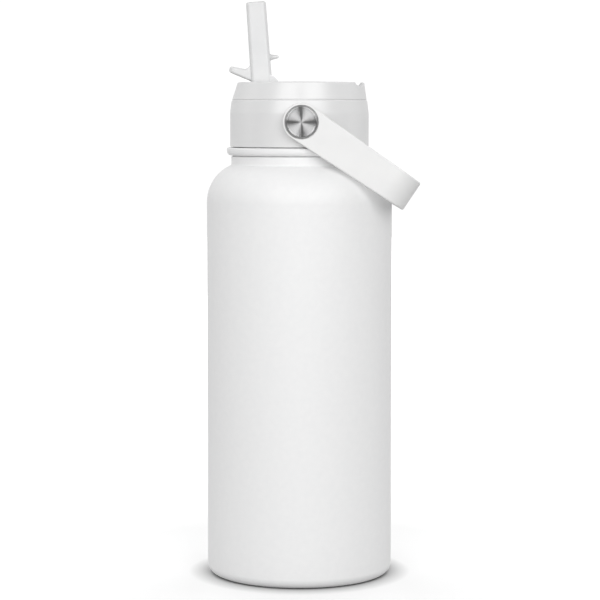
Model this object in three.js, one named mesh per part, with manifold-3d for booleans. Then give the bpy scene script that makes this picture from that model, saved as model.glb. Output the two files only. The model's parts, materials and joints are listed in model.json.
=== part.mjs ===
// Insulated steel water bottle with a screw lid, a flip-up drinking spout and a swinging carry
// handle. Millimetres, +Z up. The origin is the centre of the base, on the surface it stands on.
// The spout folds and the handle swings in the XZ plane, each about an axis along Y.
import * as THREE from 'three';
import { mergeVertices } from 'three/addons/utils/BufferGeometryUtils.js';
import Module from 'manifold-3d';

const wasm = await Module();
wasm.setup();

// ---------- driving dimensions ----------

const GAP = 0.3; // left between pieces that touch
const ROUND = 36; // facets round a large turned piece
const SMALL_ROUND = 16; // facets round a small one
const PIVOT_ROUND = 20; // facets round the handle's pivot hardware
const DEGREE = Math.PI / 180;

const SHELL = {
  radius: 45.5,
  wall: 0.5,
  baseCorner: 2.8,
  lipRadius: 41,
  shoulderZ: 183.5,
  shoulderCentreR: 26,
  neckRadius: 33.4,
  neckZ: 202.4,
};
const COLLAR = { radius: 35.6, bottom: 205.4, top: 209.9, web: 1 };
const MOUTH = { radius: 27.8, wall: 0.7, rimZ: 226 };
const LINER = { radius: 41.2, wall: 0.5, bottom: 7.4, baseCorner: 6, flange: 0.7 };
const BASE = { plateZ: 1, plateWall: 0.6, rimHeight: 5, discRadius: 38, discWall: 0.7 };
const PORT = { radius: 1.5, beadRadius: 0.6, beadHeight: 1.2 }; // the vacuum was drawn through it
const GETTER = { radius: 5, height: 2 };
const THREAD = { lead: 4, width: 1.6, crest: 0.8, root: 0.4, neckTurns: 1.25, capTurns: 1 };
const NECK_THREAD = { crestRadius: 28.9, startZ: 216 };
const CAP_THREAD = { crestRadius: 28.3, startZ: 214 };

const SKIRT = { radius: 34, wall: 1.4, bottom: 210.6, top: 233.2, shoulder: 2.6, ledgeRadius: 28.2 };
const INNER_CAP = { radius: 30.6, wall: 1.3, bottom: 211.4, top: 230.4, plugRadius: 25.3, plugBottom: 212 };
const GASKET = { outerRadius: 28.9, top: 228.7 };
const TOP = { bottom: 233.5, height: 8.5, baseRadius: 33, rimRadius: 31, edge: 0.9, wall: 1.8, lean: 0.09 };
const CHANNEL = {
  halfWidth: 8.2,
  wall: 2.2,
  endWall: 1.2,
  floorWall: 1.6,
  floorZ: 236.8,
  left: -24.8,
  right: 27.2,
  drumEnd: -8, // the deep block under the hinge ends here
  blockBottom: 230.9,
};
const SCOOP = { x: 28.4, z: 242.2, radius: 1.9 };

const HINGE = { x: -16, z: 239.6, drumRadius: 6.2, trunnionRadius: 1.8, halfLength: 7.8, trunnionEnd: 9.6 };
const SPOUT = {
  lean: 4,
  axisX: -2.4,
  length: 41.7,
  baseX: 10.3,
  baseY: 14.8,
  tipX: 9.6,
  tipY: 13.2,
  edge: 1.2,
};
const BORE = { x: 3.3, y: 4.8 }; // half widths of the spout's oval bore
const NIB = { height: 14.5, start: 1, end: 6.8, rootRadius: 1.2, tipRadius: 0.6 };
const TAB_WIDTH = 12;

// the water way under the spout
const FEED = { x: -18, holeRadius: 5.3, boreRadius: 3, seatDepth: 1.2, sealHeight: 1.8 };
const STRAW = { radius: 4, wall: 0.8, bottom: 12, top: 221.7, socketBottom: 206 };
const VENT = { x: -1.5, boreRadius: 1.7, tubeRadius: 3, tubeRise: 1.5 };
const VALVE = { radius: 2.8, flange: 1, lipHeight: 2.6, lipRadius: 1, stem: 4, boreRadius: 0.8 };

const PIVOT = {
  z: 222.7,
  headRadius: 8.1,
  headIn: 37.5,
  headOut: 39,
  headEdge: 0.4,
  shaftRadius: 3,
  shaftIn: 31.4,
  washerRadius: 6.6,
  insertWall: 1,
  insertOut: 33.7,
  bushWall: 1.1,
  bushOut: 37.1,
  bossRadius: 6.4,
};
const HANDLE = {
  droop: 33.9,
  eyeRadius: 8.95,
  endHalfHeight: 7.8,
  reach: 64.3,
  thickness: 3.2,
  innerHalfWidth: 35.6,
  cornerRadius: 14,
  edgeCut: 0.7,
};

// ---------- materials ----------

function finish(color, roughness, metalness) {
  return new THREE.MeshStandardMaterial({ color, roughness, metalness });
}

const POWDER_COAT = finish(0xf0f0f0, 0.55, 0);
const BARE_STEEL = finish(0xb9bbbd, 0.35, 1);
const BRUSHED_STEEL = finish(0xa8a8a8, 0.3, 1);
const WHITE_PLASTIC = finish(0xf2f2f2, 0.42, 0);
const SOFT_PLASTIC = finish(0xe9ebea, 0.35, 0);
const SILICONE = finish(0xdfe3e4, 0.6, 0);
const CLEAR_STRAW = finish(0xe4e8ea, 0.25, 0);
const FOAM = finish(0xf4f2ea, 0.9, 0);
const BRASS = finish(0xc2a052, 0.35, 1);
const GLASS_SOLDER = finish(0x54585c, 0.3, 0);

// ---------- geometry helpers ----------

// Points along an arc in the (radius, height) plane, from one angle to another in degrees.
function arc(centreX, centreY, radius, from, to, steps) {
  return Array.from({ length: steps + 1 }, (_, i) => {
    const angle = (from + ((to - from) * i) / steps) * DEGREE;
    return [centreX + radius * Math.cos(angle), centreY + radius * Math.sin(angle)];
  });
}

// A closed (radius, height) outline turned about Z. It runs up the outside and down the inside.
function turned(outline, facets = ROUND) {
  const closed = outline[0][0] > 0 ? [...outline, outline[0]] : outline;
  const points = closed.map(([r, z]) => new THREE.Vector2(r, z));
  return new THREE.LatheGeometry(points, facets).rotateX(Math.PI / 2);
}

// A closed (radius, distance) outline turned about the Y axis.
function turnedAboutY(outline, facets = PIVOT_ROUND) {
  const closed = outline[0][0] > 0 ? [...outline, outline[0]] : outline;
  return new THREE.LatheGeometry(closed.map(([r, y]) => new THREE.Vector2(r, y)), facets);
}

// A tube or ring about a vertical axis at x.
function ring(innerRadius, outerRadius, bottom, top, x = 0, facets = SMALL_ROUND) {
  const outline = [
    [outerRadius, bottom],
    [outerRadius, top],
    [innerRadius, top],
    [innerRadius, bottom],
  ];
  return turned(outline, facets).translate(x, 0, 0);
}

// A rod about a vertical axis at x.
function rod(radius, bottom, top, x = 0, facets = SMALL_ROUND) {
  return new THREE.CylinderGeometry(radius, radius, top - bottom, facets)
    .rotateX(Math.PI / 2)
    .translate(x, 0, (bottom + top) / 2);
}

// A rod along Y, centred on y = 0.
function crossRod(radius, halfLength, x, z, facets = PIVOT_ROUND) {
  return new THREE.CylinderGeometry(radius, radius, 2 * halfLength, facets).translate(x, 0, z);
}

function block(left, right, halfWidth, bottom, top) {
  return new THREE.BoxGeometry(right - left, 2 * halfWidth, top - bottom)
    .translate((left + right) / 2, 0, (bottom + top) / 2);
}

// A side-view outline of [x, z] points, extruded along Y and centred on y = 0.
function sidePlate(outline, width, options = {}) {
  const shape = new THREE.Shape(outline.map(([x, z]) => new THREE.Vector2(x, z)));
  return new THREE.ExtrudeGeometry(shape, { depth: width, bevelEnabled: false, ...options })
    .translate(0, 0, -width / 2)
    .rotateX(Math.PI / 2);
}

function solid(geometry) {
  const bare = geometry.clone();
  bare.deleteAttribute('normal');
  bare.deleteAttribute('uv');
  const merged = mergeVertices(bare, 1e-4);
  const mesh = new wasm.Mesh({
    numProp: 3,
    vertProperties: merged.attributes.position.array,
    triVerts: new Uint32Array(merged.index.array),
  });
  return new wasm.Manifold(mesh);
}

function geometryOf(manifold) {
  const mesh = manifold.getMesh();
  return new THREE.BufferGeometry()
    .setAttribute('position', new THREE.BufferAttribute(mesh.vertProperties, 3))
    .setIndex(new THREE.BufferAttribute(mesh.triVerts, 1))
    .toNonIndexed();
}

const joined = (first, ...others) => others.reduce((sum, g) => sum.add(solid(g)), solid(first));
const cut = (body, ...tools) => tools.reduce((rest, g) => rest.subtract(solid(g)), body);

function piece(name, geometry, material) {
  geometry.computeVertexNormals();
  const mesh = new THREE.Mesh(geometry, material);
  mesh.name = name;
  return mesh;
}

// A right-hand thread ridge: a straight trapezoid bar bent into a helix, so that x becomes
// radius and length becomes angle. The ridge sinks into the wall towards both of its ends.
function threadRidge(rootRadius, crestRadius, startZ, turns) {
  const outward = crestRadius > rootRadius;
  const section = new THREE.Shape([
    new THREE.Vector2(0, -THREAD.width / 2),
    new THREE.Vector2(1, -THREAD.crest / 2),
    new THREE.Vector2(1, THREAD.crest / 2),
    new THREE.Vector2(0, THREAD.width / 2),
  ]);
  const steps = Math.round(turns * ROUND);
  const bar = new THREE.ExtrudeGeometry(section, { depth: 1, steps, bevelEnabled: false });
  const points = bar.attributes.position;
  for (let i = 0; i < points.count; i += 1) {
    const along = points.getZ(i);
    const turn = turns * (outward ? 1 - along : along);
    const angle = 2 * Math.PI * turn;
    const height = Math.min(1, 0.15 + 6 * Math.sin(Math.PI * along));
    const radius = rootRadius + (crestRadius - rootRadius) * points.getX(i) * height;
    const z = startZ + THREAD.lead * turn + points.getY(i);
    points.setXYZ(i, radius * Math.cos(angle), radius * Math.sin(angle), z);
  }
  return bar;
}

// ---------- bottle ----------

function outerShell() {
  const { radius, wall, baseCorner, lipRadius, shoulderZ, shoulderCentreR, neckRadius, neckZ } = SHELL;
  const shoulder = radius - shoulderCentreR;
  const mouthInside = MOUTH.radius - MOUTH.wall;
  const bead = (COLLAR.top - COLLAR.bottom) / 2;
  const outside = [
    [lipRadius, 0],
    ...arc(radius - baseCorner, baseCorner, baseCorner, -90, 0, 3),
    ...arc(shoulderCentreR, shoulderZ, shoulder, 0, 68, 7),
    [neckRadius, neckZ],
    [neckRadius, COLLAR.bottom],
    ...arc(COLLAR.radius - bead, COLLAR.bottom + bead, bead, -72, 72, 4),
    [MOUTH.radius, COLLAR.top],
    [MOUTH.radius, MOUTH.rimZ],
  ];
  const inside = [
    [mouthInside, MOUTH.rimZ],
    [mouthInside, COLLAR.top - COLLAR.web],
    [neckRadius - wall, COLLAR.top - COLLAR.web],
    ...arc(shoulderCentreR, shoulderZ, shoulder - wall, 66, 0, 5),
    ...arc(radius - baseCorner, baseCorner, baseCorner - wall, 0, -90, 3),
    [lipRadius, wall],
  ];
  const root = MOUTH.radius - THREAD.root;
  const ridge = threadRidge(root, NECK_THREAD.crestRadius, NECK_THREAD.startZ, THREAD.neckTurns);
  return piece('outer_shell', geometryOf(joined(turned([...outside, ...inside]), ridge)), POWDER_COAT);
}

function innerLiner() {
  const { radius, wall, bottom, baseCorner, flange } = LINER;
  const neck = MOUTH.radius - MOUTH.wall - GAP;
  const shoulder = radius - SHELL.shoulderCentreR;
  const flangeZ = MOUTH.rimZ + GAP;
  const shoulderEnd = Math.acos((neck - SHELL.shoulderCentreR) / shoulder) / DEGREE;
  const innerShoulder = shoulder - wall;
  const innerEnd = Math.acos((neck - wall - SHELL.shoulderCentreR) / innerShoulder) / DEGREE;
  const outside = [
    [0, bottom],
    ...arc(radius - baseCorner, bottom + baseCorner, baseCorner, -90, 0, 2),
    ...arc(SHELL.shoulderCentreR, SHELL.shoulderZ, shoulder, 0, shoulderEnd, 4),
    [neck, flangeZ],
    [MOUTH.radius, flangeZ],
    [MOUTH.radius, flangeZ + flange],
  ];
  const inside = [
    [neck - wall, flangeZ + flange],
    ...arc(SHELL.shoulderCentreR, SHELL.shoulderZ, innerShoulder, innerEnd, 0, 4),
    ...arc(radius - baseCorner, bottom + baseCorner, baseCorner - wall, 0, -90, 2),
    [0, bottom + wall],
  ];
  return piece('inner_liner', turned([...outside, ...inside]), BARE_STEEL);
}

// The pressed cup that closes the outer shell. The vacuum is drawn through its centre port.
function outerBase() {
  const { plateZ, plateWall, rimHeight } = BASE;
  const rim = SHELL.lipRadius - GAP;
  const outline = [
    [PORT.radius, plateZ],
    [rim, plateZ],
    [rim, plateZ + rimHeight],
    [rim - plateWall, plateZ + rimHeight],
    [rim - plateWall, plateZ + plateWall],
    [PORT.radius, plateZ + plateWall],
  ];
  return piece('outer_base', turned(outline), BARE_STEEL);
}

function vacuumSeal() {
  const radius = PORT.radius - GAP;
  const outline = [
    [0, BASE.plateZ],
    [radius, BASE.plateZ],
    [radius, BASE.plateZ + BASE.plateWall],
    [PORT.beadRadius, BASE.plateZ + PORT.beadHeight],
    [0, BASE.plateZ + PORT.beadHeight],
  ];
  return piece('vacuum_seal', turned(outline, SMALL_ROUND), GLASS_SOLDER);
}

function baseDisc() {
  return piece('base_disc', rod(BASE.discRadius, 0, BASE.discWall, 0, ROUND), BARE_STEEL);
}

function getter() {
  const top = LINER.bottom - GAP;
  return piece('getter_pellet', rod(GETTER.radius, top - GETTER.height, top), BARE_STEEL);
}

// ---------- lid ----------

function lidGasket() {
  const bottom = MOUTH.rimZ + GAP + LINER.flange + GAP;
  const band = ring(INNER_CAP.plugRadius + GAP, GASKET.outerRadius, bottom, GASKET.top, 0, ROUND);
  return piece('lid_gasket', band, SILICONE);
}

function lidHousing() {
  const { radius, wall, bottom, top, shoulder, ledgeRadius } = SKIRT;
  const ledgeBottom = INNER_CAP.top + GAP;
  const outline = [
    [radius, bottom],
    ...arc(radius - shoulder, top - shoulder, shoulder, 0, 66, 3),
    [ledgeRadius, top],
    [ledgeRadius, ledgeBottom],
    [radius - wall, ledgeBottom],
    [radius - wall, bottom],
  ];
  const bossIn = INNER_CAP.radius + GAP;
  const bossOut = radius - wall / 2;
  const bosses = [-1, 1].map((side) =>
    new THREE.CylinderGeometry(PIVOT.bossRadius, PIVOT.bossRadius, bossOut - bossIn, PIVOT_ROUND)
      .translate(0, (side * (bossIn + bossOut)) / 2, PIVOT.z));
  const holeRadius = PIVOT.shaftRadius + GAP + PIVOT.insertWall + GAP;
  const insertHole = crossRod(holeRadius, radius + wall, 0, PIVOT.z);
  return piece('lid_housing', geometryOf(cut(joined(turned(outline), ...bosses), insertHole)), WHITE_PLASTIC);
}

// The part that screws on the neck: a threaded sleeve outside and an insulated plug inside.
function lidInnerCap() {
  const { radius, wall, bottom, top, plugRadius, plugBottom } = INNER_CAP;
  const ceiling = top - wall;
  const outline = [
    [0, plugBottom],
    [plugRadius, plugBottom],
    [plugRadius, ceiling],
    [radius - wall, ceiling],
    [radius - wall, bottom],
    [radius, bottom],
    [radius, top],
    [plugRadius - wall, top],
    [plugRadius - wall, plugBottom + wall],
    [0, plugBottom + wall],
  ];
  const root = radius - wall + THREAD.root;
  const ridge = threadRidge(root, CAP_THREAD.crestRadius, CAP_THREAD.startZ, THREAD.capTurns);
  const ventTube = rod(VENT.tubeRadius, plugBottom, top + VENT.tubeRise, VENT.x);
  const feedHole = rod(FEED.holeRadius + GAP, plugBottom - wall, plugBottom + 2 * wall, FEED.x);
  const ventHole = rod(VENT.boreRadius, plugBottom - wall, top + 2 * VENT.tubeRise, VENT.x);
  const body = cut(joined(turned(outline), ridge, ventTube), feedHole, ventHole);
  return piece('lid_inner_cap', geometryOf(body), WHITE_PLASTIC);
}

function lidInsulation() {
  const radius = INNER_CAP.plugRadius - INNER_CAP.wall - GAP;
  const bottom = INNER_CAP.plugBottom + INNER_CAP.wall + GAP;
  const puck = solid(rod(radius, bottom, INNER_CAP.top - GAP, 0, ROUND));
  const feedHole = rod(FEED.holeRadius + 2 * GAP, INNER_CAP.plugBottom, INNER_CAP.top, FEED.x);
  const ventHole = rod(VENT.tubeRadius + GAP, INNER_CAP.plugBottom, INNER_CAP.top, VENT.x);
  return piece('lid_insulation', geometryOf(cut(puck, feedHole, ventHole)), FOAM);
}

// Shifts a piece of the top cover sideways as it rises, so that its rim sits off centre.
function leaned(geometry) {
  const points = geometry.attributes.position;
  for (let i = 0; i < points.count; i += 1) {
    points.setX(i, points.getX(i) + Math.max(0, points.getZ(i) - TOP.bottom) * TOP.lean);
  }
  return geometry;
}

function lidTopCover() {
  const { bottom, height, baseRadius, rimRadius, edge, wall } = TOP;
  const top = bottom + height;
  const outerForm = leaned(turned([
    [0, bottom],
    [baseRadius, bottom],
    ...arc(rimRadius - edge, top - edge, edge, 12, 90, 3),
    [0, top],
  ]));
  const hollow = leaned(turned([
    [0, bottom - wall],
    [baseRadius - wall, bottom - wall],
    [rimRadius - wall, top - wall],
    [0, top - wall],
  ]));
  const { halfWidth, floorZ, left, right, drumEnd, blockBottom } = CHANNEL;
  const halfBlock = halfWidth + CHANNEL.wall;
  const channelEnd = right + 2 * CHANNEL.wall;
  const drumBlock = block(left - CHANNEL.endWall, drumEnd, halfBlock, blockBottom, top - edge);
  const channelBlock = block(drumEnd - GAP, channelEnd, halfBlock, floorZ - CHANNEL.floorWall, top - edge);
  const insideForm = solid(outerForm);
  const walls = solid(channelBlock).intersect(insideForm).add(solid(drumBlock));
  const body = insideForm.subtract(solid(hollow)).add(walls);
  const channel = block(left, right, halfWidth, floorZ, top + wall);
  const drumPocket = crossRod(HINGE.drumRadius + GAP, halfWidth, HINGE.x, HINGE.z);
  const trunnionBore = crossRod(HINGE.trunnionRadius + GAP, HINGE.trunnionEnd + GAP, HINGE.x, HINGE.z);
  const sealSeat = rod(FEED.holeRadius, blockBottom + FEED.seatDepth, floorZ, FEED.x);
  const feedHole = rod(FEED.boreRadius + GAP, blockBottom - wall, floorZ, FEED.x);
  const grommetHole = rod(VENT.tubeRadius + GAP, floorZ - wall, floorZ + wall, VENT.x);
  const scoop = crossRod(SCOOP.radius, SKIRT.radius, SCOOP.x, SCOOP.z, SMALL_ROUND);
  const tools = [channel, drumPocket, trunnionBore, sealSeat, feedHole, grommetHole, scoop];
  return piece('lid_top_cover', geometryOf(cut(body, ...tools)), WHITE_PLASTIC);
}

// A soft pad whose dished top wipes the spout's drum.
function spoutSeal() {
  const bottom = CHANNEL.blockBottom + FEED.seatDepth + GAP;
  const top = bottom + FEED.sealHeight;
  const pad = solid(ring(FEED.boreRadius, FEED.holeRadius - GAP, bottom, top, FEED.x));
  const drum = crossRod(HINGE.drumRadius + GAP, CHANNEL.halfWidth, HINGE.x, HINGE.z);
  return piece('spout_seal', geometryOf(cut(pad, drum)), SILICONE);
}

function strawSocket() {
  const top = CHANNEL.blockBottom - GAP;
  const outline = [
    [FEED.holeRadius, STRAW.socketBottom],
    [FEED.holeRadius, top],
    [FEED.boreRadius, top],
    [FEED.boreRadius, STRAW.top + GAP],
    [STRAW.radius + GAP, STRAW.top + GAP],
    [STRAW.radius + GAP, STRAW.socketBottom],
  ];
  return piece('straw_socket', turned(outline, SMALL_ROUND).translate(FEED.x, 0, 0), SILICONE);
}

function straw() {
  const tube = ring(STRAW.radius - STRAW.wall, STRAW.radius, STRAW.bottom, STRAW.top, FEED.x);
  return piece('straw', tube, CLEAR_STRAW);
}

function ventGrommet() {
  const bottom = INNER_CAP.top + VENT.tubeRise + GAP;
  const tube = ring(VENT.boreRadius, VENT.tubeRadius, bottom, CHANNEL.floorZ, VENT.x);
  return piece('vent_grommet', tube, SILICONE);
}

// A duckbill that lets air in under the lid and keeps water out.
function ventValve() {
  const { radius, flange, lipHeight, lipRadius, stem, boreRadius } = VALVE;
  const top = INNER_CAP.plugBottom - GAP;
  const stemRadius = VENT.boreRadius - GAP;
  const outline = [
    [0, top - lipHeight],
    [lipRadius, top - lipHeight],
    [radius, top - flange],
    [radius, top],
    [stemRadius, top],
    [stemRadius, top + stem],
    [boreRadius, top + stem],
    [boreRadius, top - flange],
    [0, top - flange],
  ];
  return piece('vent_valve', turned(outline, SMALL_ROUND).translate(VENT.x, 0, 0), SILICONE);
}

// ---------- spout: drawn in its own frame, hinge axis at the origin, water way along +Z ----------

function spoutBody() {
  const { axisX, length, baseX, baseY, tipX, tipY, edge } = SPOUT;
  const halfX = baseX / 2 - edge;
  const halfY = baseY / 2 - edge;
  const corner = 0.85 * halfX;
  const section = new THREE.Shape();
  section.moveTo(halfX, 0);
  section.absarc(halfX - corner, halfY - corner, corner, 0, Math.PI / 2);
  section.absarc(corner - halfX, halfY - corner, corner, Math.PI / 2, Math.PI);
  section.absarc(corner - halfX, corner - halfY, corner, Math.PI, 1.5 * Math.PI);
  section.absarc(halfX - corner, corner - halfY, corner, 1.5 * Math.PI, 2 * Math.PI);
  const body = new THREE.ExtrudeGeometry(section, {
    depth: length - 2 * edge,
    steps: 1,
    curveSegments: 4,
    bevelThickness: edge,
    bevelSize: edge,
    bevelSegments: 2,
  }).translate(0, 0, edge);
  const points = body.attributes.position;
  for (let i = 0; i < points.count; i += 1) {
    const rise = points.getZ(i) / length;
    const narrowX = 1 - (1 - tipX / baseX) * rise;
    const narrowY = 1 - (1 - tipY / baseY) * rise;
    points.setXY(i, axisX + points.getX(i) * narrowX, points.getY(i) * narrowY);
  }
  return body;
}

function spoutPiece() {
  const { drumRadius, trunnionRadius, halfLength, trunnionEnd } = HINGE;
  const tabOutline = [
    [-17.7, 8.7],
    [-6.4, 3.1],
    [-4, 3.1],
    [-4, 12],
    [-7.3, 11.6],
    [-9.4, 9.4],
    [-16.7, 11.4],
  ];
  const tab = sidePlate(tabOutline, TAB_WIDTH);
  const nib = new THREE.CylinderGeometry(NIB.tipRadius, NIB.rootRadius, NIB.end - NIB.start, SMALL_ROUND)
    .rotateZ(-Math.PI / 2)
    .translate((NIB.start + NIB.end) / 2, 0, NIB.height);
  const drum = crossRod(drumRadius, halfLength, 0, 0);
  const trunnions = crossRod(trunnionRadius, trunnionEnd, 0, 0);
  const bore = rod(BORE.x, -2 * drumRadius, SPOUT.length + 1).scale(1, BORE.y / BORE.x, 1)
    .translate(SPOUT.axisX, 0, 0);
  const body = cut(joined(spoutBody(), tab, nib, drum, trunnions), bore);
  return piece('spout', geometryOf(body), SOFT_PLASTIC);
}

// ---------- handle: drawn in its own frame, pivot axis along Y at the origin, arms along +X ----------

function handlePlan() {
  const { eyeRadius, reach, thickness, innerHalfWidth, cornerRadius } = HANDLE;
  const outer = innerHalfWidth + thickness;
  const armEnd = -eyeRadius - thickness;
  const outerCorner = arc(reach - cornerRadius, outer - cornerRadius, cornerRadius, 90, 0, 6);
  const innerCorner = arc(reach - cornerRadius, outer - cornerRadius, cornerRadius - thickness, 0, 90, 6);
  const mirrored = (points) => points.map(([x, y]) => [x, -y]).reverse();
  return [
    [armEnd, outer],
    ...outerCorner,
    ...mirrored(outerCorner),
    [armEnd, -outer],
    [armEnd, -innerHalfWidth],
    ...mirrored(innerCorner),
    ...innerCorner,
    [armEnd, innerHalfWidth],
  ].reverse();
}

function handleStrap() {
  const { eyeRadius, endHalfHeight, reach, thickness, innerHalfWidth, edgeCut } = HANDLE;
  const taper = Math.asin((eyeRadius - endHalfHeight) / reach) / DEGREE;
  const side = [
    [reach, -endHalfHeight + edgeCut],
    [reach, endHalfHeight - edgeCut],
    [reach - edgeCut, endHalfHeight],
    ...arc(0, 0, eyeRadius, 90 - taper, 270 + taper, 16),
    [reach - thickness + edgeCut, -endHalfHeight],
  ];
  const plan = new THREE.Shape(handlePlan().map(([x, y]) => new THREE.Vector2(x, y)));
  const height = 4 * eyeRadius;
  const bent = new THREE.ExtrudeGeometry(plan, { depth: height, bevelEnabled: false })
    .translate(0, 0, -height / 2);
  const strap = solid(bent).intersect(solid(sidePlate(side, 4 * innerHalfWidth)));
  const innerEdge = new THREE.CylinderGeometry(edgeCut, edgeCut, 2 * innerHalfWidth, 4)
    .translate(reach - thickness, 0, -endHalfHeight);
  const holeRadius = PIVOT.shaftRadius + GAP + PIVOT.bushWall + GAP;
  const eyeHole = crossRod(holeRadius, 2 * innerHalfWidth, 0, 0);
  const recessRadius = PIVOT.headRadius + GAP;
  const recesses = [-1, 1].map((sideOfLid) =>
    new THREE.CylinderGeometry(recessRadius, recessRadius, 2 * thickness, PIVOT_ROUND)
      .translate(0, sideOfLid * (PIVOT.headIn - GAP + thickness), 0));
  return piece('handle', geometryOf(cut(strap, innerEdge, eyeHole, ...recesses)), WHITE_PLASTIC);
}

// ---------- pivot hardware: turned about Y, drawn for the +Y side ----------

const BORE_RADIUS = PIVOT.shaftRadius + GAP;
const BOLT = [
  [0, PIVOT.shaftIn],
  [PIVOT.shaftRadius, PIVOT.shaftIn],
  [PIVOT.shaftRadius, PIVOT.headIn],
  [PIVOT.headRadius, PIVOT.headIn],
  [PIVOT.headRadius, PIVOT.headOut - PIVOT.headEdge],
  [PIVOT.headRadius - PIVOT.headEdge, PIVOT.headOut],
  [0, PIVOT.headOut],
];
const tubeOutline = (inner, outer, from, to) => [
  [outer, from],
  [outer, to],
  [inner, to],
  [inner, from],
];
const WASHER = tubeOutline(BORE_RADIUS, PIVOT.washerRadius, SKIRT.radius + GAP, HANDLE.innerHalfWidth - GAP);
const INSERT = tubeOutline(BORE_RADIUS, BORE_RADIUS + PIVOT.insertWall, PIVOT.shaftIn, PIVOT.insertOut);
const BUSH = tubeOutline(BORE_RADIUS, BORE_RADIUS + PIVOT.bushWall, HANDLE.innerHalfWidth, PIVOT.bushOut);

function pivotPiece(name, outline, material, side) {
  const geometry = turnedAboutY(outline);
  if (side === 'front') geometry.rotateZ(Math.PI);
  return piece(`${name}_${side}`, geometry, material);
}

// ---------- assembly ----------

const bottle = new THREE.Group();
bottle.add(outerShell(), innerLiner(), outerBase(), vacuumSeal(), baseDisc(), getter());

const lid = new THREE.Group();
lid.add(lidGasket(), lidHousing(), lidInnerCap(), lidInsulation(), lidTopCover());
lid.add(spoutSeal(), strawSocket(), straw(), ventGrommet(), ventValve());

const spout = new THREE.Group();
spout.add(spoutPiece());
spout.position.set(HINGE.x, 0, HINGE.z);
spout.rotation.y = -SPOUT.lean * DEGREE;

const handle = new THREE.Group();
handle.add(handleStrap());
handle.position.z = PIVOT.z;
handle.rotation.y = HANDLE.droop * DEGREE;

const pivots = new THREE.Group();
pivots.position.z = PIVOT.z;
for (const side of ['front', 'back']) {
  pivots.add(pivotPiece('pivot_bolt', BOLT, BRUSHED_STEEL, side));
  pivots.add(pivotPiece('pivot_washer', WASHER, SOFT_PLASTIC, side));
  pivots.add(pivotPiece('pivot_insert', INSERT, BRASS, side));
  handle.add(pivotPiece('pivot_bush', BUSH, SOFT_PLASTIC, side));
}

const group = new THREE.Group();
group.add(bottle, lid, spout, handle, pivots);

export default group;
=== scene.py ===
"""Looks of the insulated water bottle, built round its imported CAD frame.

The bottle's sizes are in millimetres and become metres when a mesh is made. The studio's are in
metres. Outlines of turned pieces are (radius, height) corners, each with the radius that rounds
it, going up the outside and down the inside.
"""

import json
import math

import bmesh
import bpy
from mathutils import Matrix, Vector


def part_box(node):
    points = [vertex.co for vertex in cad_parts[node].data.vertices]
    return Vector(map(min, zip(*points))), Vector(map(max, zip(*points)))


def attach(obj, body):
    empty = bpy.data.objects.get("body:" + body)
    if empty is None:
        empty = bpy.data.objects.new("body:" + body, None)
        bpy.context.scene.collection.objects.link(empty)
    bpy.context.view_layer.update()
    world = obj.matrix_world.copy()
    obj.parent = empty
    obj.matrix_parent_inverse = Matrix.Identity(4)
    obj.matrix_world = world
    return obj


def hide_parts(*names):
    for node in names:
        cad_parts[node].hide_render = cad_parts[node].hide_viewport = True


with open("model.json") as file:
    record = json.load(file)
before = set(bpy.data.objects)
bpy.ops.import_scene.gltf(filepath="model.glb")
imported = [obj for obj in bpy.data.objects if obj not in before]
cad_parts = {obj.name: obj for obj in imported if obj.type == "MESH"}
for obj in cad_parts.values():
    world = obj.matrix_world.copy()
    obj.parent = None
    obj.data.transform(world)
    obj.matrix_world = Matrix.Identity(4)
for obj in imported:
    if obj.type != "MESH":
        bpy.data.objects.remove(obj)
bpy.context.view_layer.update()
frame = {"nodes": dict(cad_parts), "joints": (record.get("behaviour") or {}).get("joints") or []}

MM = 0.001
FACETS = 144  # round a large turned piece
SMALL_FACETS = 64


def span(node):
    """The lowest and highest corners of a CAD node, in millimetres."""
    low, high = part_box(node)
    return low / MM, high / MM


def joint_point(name):
    """A point on a joint's axis, in millimetres."""
    joint = next(j for j in frame["joints"] if j["name"] == name)
    return Vector(joint["pos_m"]) / MM


# ---------- driving sizes ----------

SHELL_HIGH = span("outer_shell")[1]
SKIRT_LOW, SKIRT_HIGH = span("lid_housing")
COVER_LOW, COVER_HIGH = span("lid_top_cover")
BOLT_LOW, BOLT_HIGH = span("pivot_bolt_back")
HANDLE_PIVOT = joint_point("handle_swing")
HINGE = joint_point("spout_flip")

BODY_RADIUS = SHELL_HIGH.x
RIM_Z = SHELL_HIGH.z
BASE_LIP = 40.6
BASE_CORNER = 4.6
SHOULDER_CORNER_Z = 196.65
SHOULDER_RADIUS = 19.5
NECK_RADIUS = 33.4
NECK_Z = 201.7
NECK_ROUND = 1.4
COLLAR_RADIUS = 35.6
COLLAR_BOTTOM = 206.4
COLLAR_TOP = SKIRT_LOW.z - 0.35
COLLAR_TOP_ROUND = 0.9
COLLAR_UNDER_ROUND = 2.1
CREASE = 0.4  # height of the groove under the collar
UNDERCUT = 0.9  # depth of that groove
COLLAR_WEB = 1  # thickness of the collar's flat top
MOUTH_RADIUS = 27.8
SHEET_WALL = 0.5
THREAD_LEAD = 4.0
THREAD_START_Z = 216
THREAD_TURNS = 1.25
THREAD_HEIGHT = 1.1

SKIRT_RADIUS = SKIRT_HIGH.x
SKIRT_WALL = 1.4
SKIRT_BEND_Z = 227  # where the skirt starts to lean in
SKIRT_BEND_ROUND = 14
SKIRT_LEAN_IN = 0.75
PIVOT_HOLE = 4.6
SKIRT_SHOULDER = 0.4
LEDGE_RADIUS = 28.2

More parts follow.
